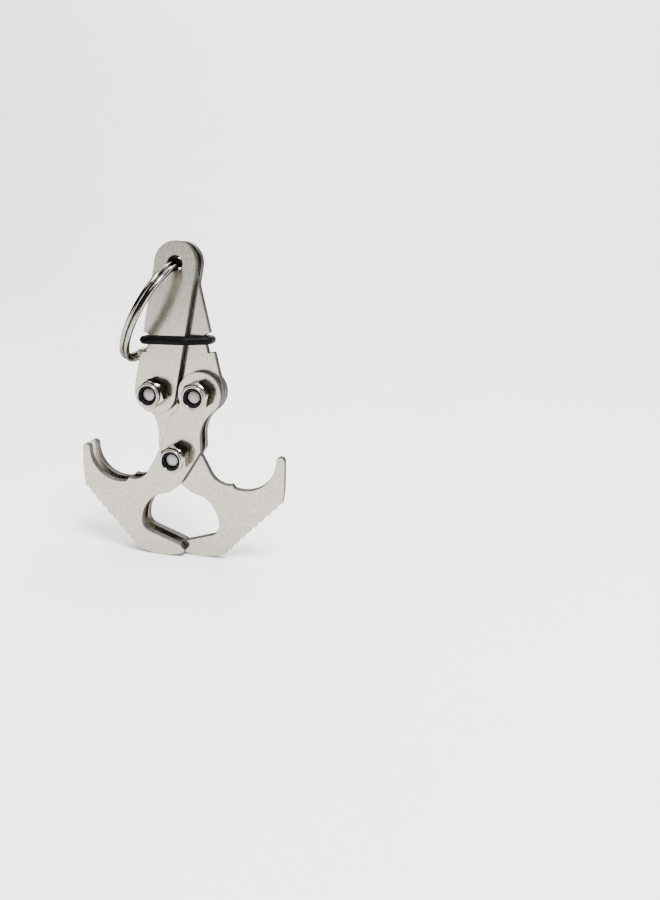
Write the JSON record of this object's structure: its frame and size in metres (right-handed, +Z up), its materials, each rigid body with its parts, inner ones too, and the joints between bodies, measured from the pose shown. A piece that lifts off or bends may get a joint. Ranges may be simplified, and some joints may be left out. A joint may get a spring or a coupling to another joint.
{
  "type": "folding grapnel hook",
  "caption": "Small folding grapnel of stamped steel plate: crossed serrated claws and arms on nutted pivots, shut by a rubber O-ring, hung on a split ring.",
  "frame": {"origin": "on the ground between the claws' soles, on the centre line, midway through the stack of plates", "axes": "+Z up from the claws to the eye, X across the claws, -Y out of the face that carries the nuts"},
  "size_m": [0.046, 0.0242, 0.0686],
  "materials": {
    "satin_steel": "satin",
    "bright_steel": "polished",
    "nylon": "matte",
    "rubber": "semi-matte"
  },
  "bodies": {
    "pivot": {"lower_bolt": "bright_steel", "lower_nut": "bright_steel", "lower_nut_insert": "nylon"},
    "claw_left": {"claw_left_front": "satin_steel", "claw_left_rear": "satin_steel", "right_bolt": "bright_steel", "right_nut": "bright_steel", "right_nut_insert": "nylon"},
    "claw_right": {"claw_right": "satin_steel"},
    "arm_right": {"arm_right": "satin_steel"},
    "arm_left": {"arm_left_front": "satin_steel", "arm_left_rear": "satin_steel", "left_bolt": "bright_steel", "left_nut": "bright_steel", "left_nut_insert": "nylon", "o_ring": "rubber"},
    "split_ring": {"split_ring": "bright_steel"}
  },
  "joints": [
    {"name": "claw_left_pivot", "type": "hinge", "parent": "pivot", "child": "claw_left", "pos_m": [0, 0, 0.0232], "axis": [0, 1, 0], "range_deg": [0, 38]},
    {"name": "claw_right_pivot", "type": "hinge", "parent": "pivot", "child": "claw_right", "pos_m": [0, 0, 0.0232], "axis": [0, 1, 0], "range_deg": [-38, 0]},
    {"name": "arm_right_pivot", "type": "hinge", "parent": "claw_left", "child": "arm_right", "pos_m": [0.005, 0, 0.037], "axis": [0, 1, 0], "range_deg": [-55.03, 0]},
    {"name": "eye_pivot", "type": "hinge", "parent": "arm_right", "child": "arm_left", "pos_m": [0, 0, 0.064], "axis": [0, 1, 0], "range_deg": [0, 34.06], "stiffness_Nm_per_rad": 0.006, "deforming": ["o_ring"]},
    {"name": "ring_swing", "type": "hinge", "parent": "arm_left", "child": "split_ring", "pos_m": [0, 0, 0.064], "axis": [0, 1, 0], "range_deg": [0, 266]}
  ],
  "couplings": [
    {"joint": "claw_right_pivot", "follows": "claw_left_pivot", "ratio": -1},
    {"joint": "arm_right_pivot", "follows": "claw_left_pivot", "ratio": -1.448},
    {"joint": "eye_pivot", "follows": "claw_left_pivot", "ratio": 0.896}
  ]
}
